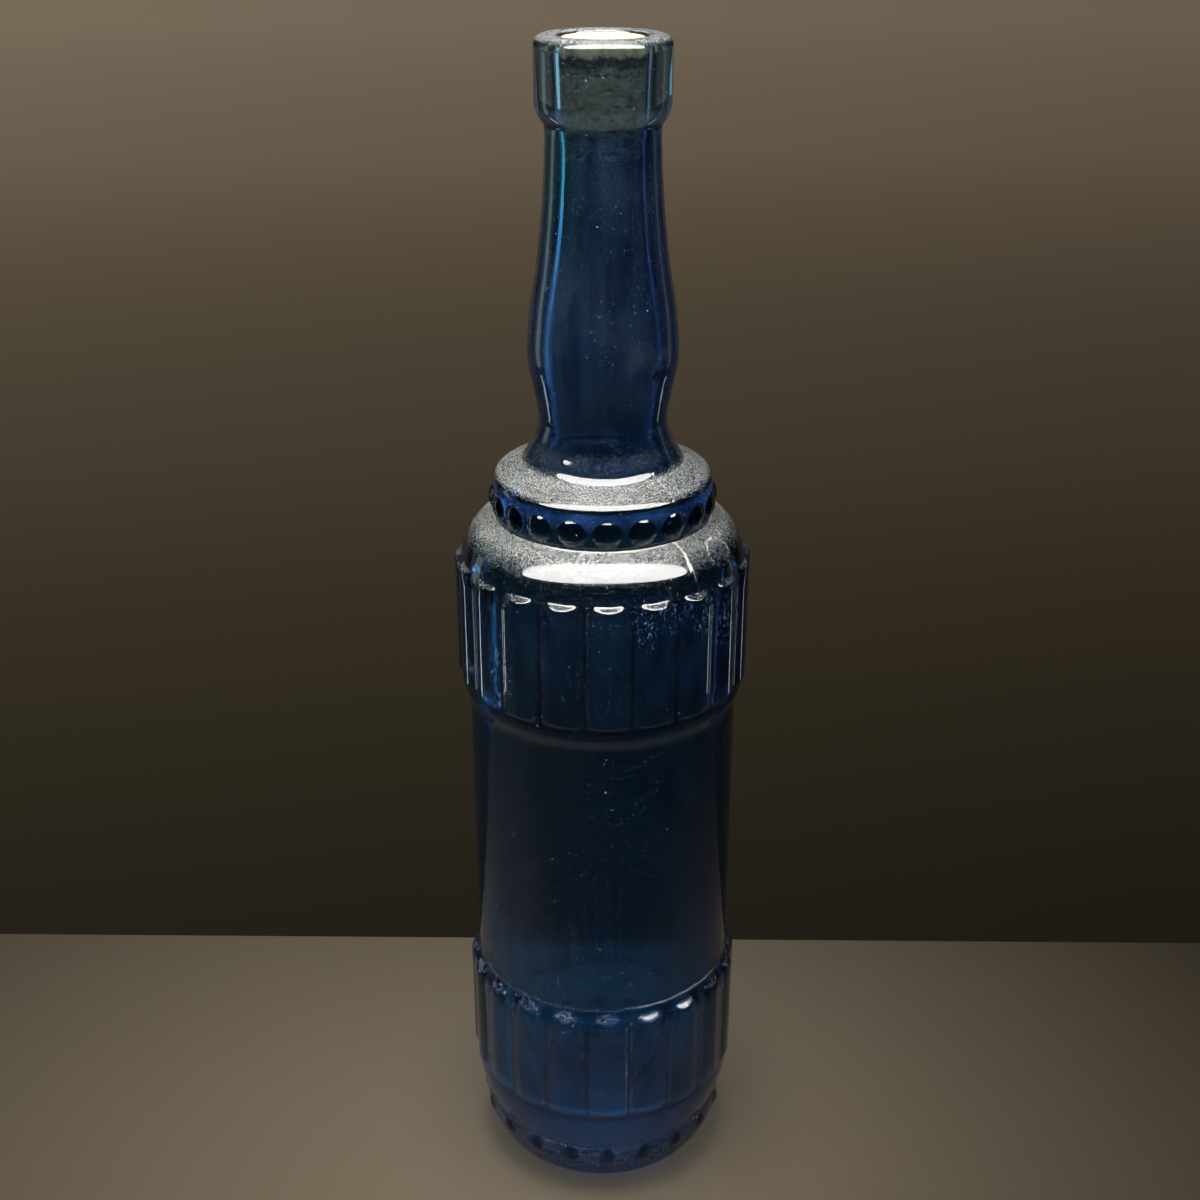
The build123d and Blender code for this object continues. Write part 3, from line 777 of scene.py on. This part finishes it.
# the side is painted darker as shade, with a ragged black belt near the top and a painted golden highlight on the edge
# over it
geo_c = nt.nodes.new("ShaderNodeNewGeometry")
nrm_c = nt.nodes.new("ShaderNodeSeparateXYZ")
nt.links.new(geo_c.outputs["Normal"], nrm_c.inputs[0])
pos_c = nt.nodes.new("ShaderNodeSeparateXYZ")
nt.links.new(obj, pos_c.inputs[0])
side = remap(nt, nrm_c.outputs["Z"], 0.75, 0.45)
rag = tex_noise(nt, stretched(nt, obj, 420.0, 420.0, 160.0), 1.0, 3.0, 0.6)
zz = maths(nt, "ADD", pos_c.outputs["Z"], maths(nt, "MULTIPLY", maths(nt, "SUBTRACT", rag, 0.5), 0.0045))
side_shade_painted = remap(nt, zz, 0.3184, 0.3174)
base = mixc(nt, maths(nt, "MULTIPLY", side, maths(nt, "MULTIPLY", side_shade_painted, 0.62)), base, (0.100, 0.058, 0.024, 1))
edge_highlight_painted = maths(nt, "MULTIPLY", maths(nt, "MULTIPLY", remap(nt, zz, 0.3176, 0.3186), remap(nt, rag, 0.38, 0.5, 0.25, 1.0)), remap(nt, nrm_c.outputs["Z"], 0.97, 0.85))
base = mixc(nt, maths(nt, "MULTIPLY", edge_highlight_painted, 0.85), base, (0.95, 0.56, 0.20, 1))
belt = maths(nt, "MULTIPLY", remap(nt, zz, 0.3149, 0.3157), remap(nt, zz, 0.3180, 0.3173))
base = mixc(nt, maths(nt, "MULTIPLY", side, maths(nt, "MULTIPLY", belt, 0.93)), base, (0.010, 0.006, 0.003, 1))
nt.links.new(base, b.inputs["Base Color"])
b.inputs["Roughness"].default_value = 0.82
bump = nt.nodes.new("ShaderNodeBump")
bump.inputs["Strength"].default_value = 0.6
bump.inputs["Distance"].default_value = 0.0004
nt.links.new(grain, bump.inputs["Height"])
nt.links.new(bump.outputs[0], b.inputs["Normal"])
cork.data.materials.append(m_cork)

# ------------------------------------------------------------------ riding
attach(bottle, "bottle")
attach(cork, "cork")
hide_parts("glass_bottle")
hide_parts("cork_stopper")

# ------------------------------------------------------------------- stage
def plane(name, x0, y0, x1, y1, zz, skew=0.0):
    me = bpy.data.meshes.new(name)
    me.from_pydata([(x0, y0, zz), (x1, y0, zz), (x1, y1 + skew * x1, zz), (x0, y1 + skew * x0, zz)], [], [(0, 1, 2, 3)])
    ob = bpy.data.objects.new(name, me)
    bpy.context.scene.collection.objects.link(ob)
    return ob


floor = plane("floor", -0.9, -1.2, 0.9, EDGE_Y, 0.0, EDGE_SKEW)
m, nt, out, b = new_material("floor_pale")
tcf = nt.nodes.new("ShaderNodeTexCoord")
sepf = nt.nodes.new("ShaderNodeSeparateXYZ")
nt.links.new(tcf.outputs["Object"], sepf.inputs[0])
# painted shade: the floor turns dark toward the front
shade_f = mixc(nt, remap(nt, sepf.outputs["Y"], -0.075, -0.16), (0.50, 0.40, 0.262, 1), (0.12, 0.10, 0.07, 1))
nt.links.new(shade_f, b.inputs["Base Color"])
b.inputs["Roughness"].default_value = 0.75
b.inputs["Specular IOR Level"].default_value = 0.2
floor.data.materials.append(m)
ground = plane("ground", -6, -6, 6, 6, -0.004)
m, nt, out, b = new_material("ground_dark")
tcg = nt.nodes.new("ShaderNodeTexCoord")
sep = nt.nodes.new("ShaderNodeSeparateXYZ")
nt.links.new(tcg.outputs["Object"], sep.inputs[0])
# painted light on the backdrop: brighter with distance, with painted shade toward both sides
far = remap(nt, sep.outputs["Y"], 0.0, 3.4)
shade = ramp(nt, far, [
    (0.0, (0.034, 0.029, 0.020, 1)), (0.029, (0.034, 0.029, 0.0195, 1)), (0.065, (0.050, 0.042, 0.0246, 1)),
    (0.111, (0.076, 0.057, 0.035, 1)), (0.1785, (0.116, 0.090, 0.057, 1)), (0.291, (0.160, 0.126, 0.079, 1)),
    (0.512, (0.276, 0.214, 0.145, 1)), (0.994, (0.368, 0.288, 0.200, 1)),
]).outputs[0]
across = maths(nt, "DIVIDE", sep.outputs["X"], maths(nt, "ADD", sep.outputs["Y"], 0.5))
dim = remap(nt, across, -0.35, 0.35, 1.0, 0.74)
grey = node(nt, "ShaderNodeCombineColor")
for k in range(3):
    nt.links.new(dim, grey.inputs[k])
nt.links.new(mixc(nt, 1.0, shade, grey.outputs[0], "MULTIPLY"), b.inputs["Base Color"])
aside = maths(nt, "ABSOLUTE", across)
dim_side = maths(nt, "MULTIPLY", dim, remap(nt, aside, 0.46, 0.70, 1.0, 0.15))
for k in range(3):
    nt.links.new(dim_side, grey.inputs[k])
b.inputs["Roughness"].default_value = 0.9
b.inputs["Specular IOR Level"].default_value = 0.0
ground.data.materials.append(m)

# ------------------------------------------------------------------ lights
def area(name, loc, target, sx, sy, power, colour=(1, 1, 1)):
    li = bpy.data.lights.new(name, "AREA")
    li.shape = "RECTANGLE"
    li.size, li.size_y = sx, sy
    li.energy = power
    li.color = colour
    ob = bpy.data.objects.new(name, li)
    ob.location = loc
    d = Vector(target) - Vector(loc)
    ob.rotation_euler = d.to_track_quat("-Z", "Y").to_euler()
    bpy.context.scene.collection.objects.link(ob)
    return ob


def only(light, *objs):
    """This light falls on these objects alone."""
    c = bpy.data.collections.new("lit_by_" + light.name)
    for o in objs:
        c.objects.link(o)
    light.light_linking.receiver_collection = c


def glow(radiance, sx, sy):
    return radiance * math.pi * sx * sy


def lone(light, *blockers):
    """Only these objects throw a shadow in this light."""
    c = bpy.data.collections.new("shade_" + light.name)
    for o in blockers:
        c.objects.link(o)
    light.light_linking.blocker_collection = c


key = area("key_overhead", (0.0, -0.66, 1.3), (0, -0.6599, 0.2), 3.9, 1.1, glow(20, 3.9, 1.1), (1.0, 0.98, 0.94))
key.visible_transmission = False
through_key = area("key_in_glass", (0.0, -0.66, 1.3), (0, -0.6599, 0.2), 3.9, 1.1, glow(7.5, 3.9, 1.1), (0.94, 0.98, 1.0))
through_key.visible_camera = through_key.visible_diffuse = through_key.visible_glossy = False
for li in (key, through_key):
    li.data.shape = "ELLIPSE"
    li.data.energy *= math.pi / 4
    only(li, bottle, cork)
ceiling = area("ceiling", (0.0, 0.0, 2.4), (0, 0.0001, 0.2), 3.2, 3.2, glow(0.5, 3.2, 3.2), (0.95, 0.98, 1.0))
only(ceiling, bottle, cork)
left = area("side_left", (-0.57, 0.27, 0.14), (0, 0, 0.14), 0.10, 0.26, glow(0.95, 0.085, 0.26), (0.72, 1.0, 0.92))
left_wide = area("side_left_soft", (-0.60, 0.30, 0.24), (0, 0, 0.24), 0.26, 0.60, glow(0.13, 0.26, 0.60), (0.90, 0.96, 1.0))
right = area("side_right", (0.57, 0.27, 0.20), (0, 0, 0.20), 0.035, 0.44, glow(0.3, 0.035, 0.44), (0.80, 0.94, 1.0))
right_wide = area("side_right_soft", (0.60, 0.30, 0.24), (0, 0, 0.24), 0.16, 0.60, glow(0.07, 0.16, 0.60), (0.92, 0.94, 1.0))
low_left = area("low_left", (-0.366, 0.173, 0.004), (-0.366, 0.1731, 1.0), 0.20, 0.030, glow(3.2, 0.20, 0.030), (0.80, 0.92, 1.0))
low_right = area("low_right", (0.366, 0.173, 0.004), (0.366, 0.1731, 1.0), 0.20, 0.020, glow(2.4, 0.20, 0.020), (0.80, 0.92, 1.0))
low_left.rotation_euler = (math.pi, 0.0, math.radians(-25.3))
low_right.rotation_euler = (math.pi, 0.0, math.radians(25.3))
for li in (left, left_wide, right, right_wide, low_left, low_right):
    only(li, bottle, cork)
    li.visible_camera = False


def sun(name, strength, *targets):
    li = bpy.data.lights.new(name, "SUN")
    li.energy = strength
    li.angle = math.radians(50.0)
    ob = bpy.data.objects.new(name, li)
    bpy.context.scene.collection.objects.link(ob)
    only(ob, *targets)
    return ob


def pool(name, loc, target, power, wide):
    """A soft round pool of light on the floor."""
    li = bpy.data.lights.new(name, "SPOT")
    li.energy = power
    li.spot_size = math.radians(wide)
    li.spot_blend = 1.0
    li.shadow_soft_size = 0.20
    ob = bpy.data.objects.new(name, li)
    ob.location = loc
    ob.rotation_euler = (Vector(target) - Vector(loc)).to_track_quat("-Z", "Y").to_euler()
    bpy.context.scene.collection.objects.link(ob)
    only(ob, floor)
    return ob


back = sun("ground_light", 1.57, ground)
lone(back, floor)
pool_a = pool("floor_pool", (-0.06, -0.02, 1.2), (-0.06, -0.02, 0.0), 7.5, 27.0)
lone(pool_a, floor)
pool_b = pool("floor_pool_shaded", (-0.06, -0.04, 1.2), (-0.06, -0.05, 0.0), 14.5, 27.0)

world = bpy.data.worlds.new("studio")
bpy.context.scene.world = world
world.use_nodes = True
bg = world.node_tree.nodes["Background"]
bg.inputs[0].default_value = (0.86, 0.90, 1.0, 1)
bg.inputs[1].default_value = 0.012

# ------------------------------------------------------------------ camera
cam = bpy.data.cameras.new("camera")
cam.sensor_fit = "HORIZONTAL"
cam.sensor_width = 36.0
cam.lens = 1620.0 / 1200.0 * 36.0
cam.clip_start = 0.01
cam.clip_end = 50
co = bpy.data.objects.new("camera", cam)
bpy.context.scene.collection.objects.link(co)
az = math.radians(-2.3)
dist = 0.39531
co.location = (dist * math.sin(az), -dist * math.cos(az), 0.36298)
yaw = az + math.atan(3.0 / 1620.0)
co.rotation_euler = (math.radians(90.0 - 25.2), 0.0, yaw)
bpy.context.scene.camera = co

bpy.context.scene.view_settings.view_transform = "Standard"
bpy.context.scene.view_settings.look = "None"
bpy.context.scene.view_settings.exposure = 0.0
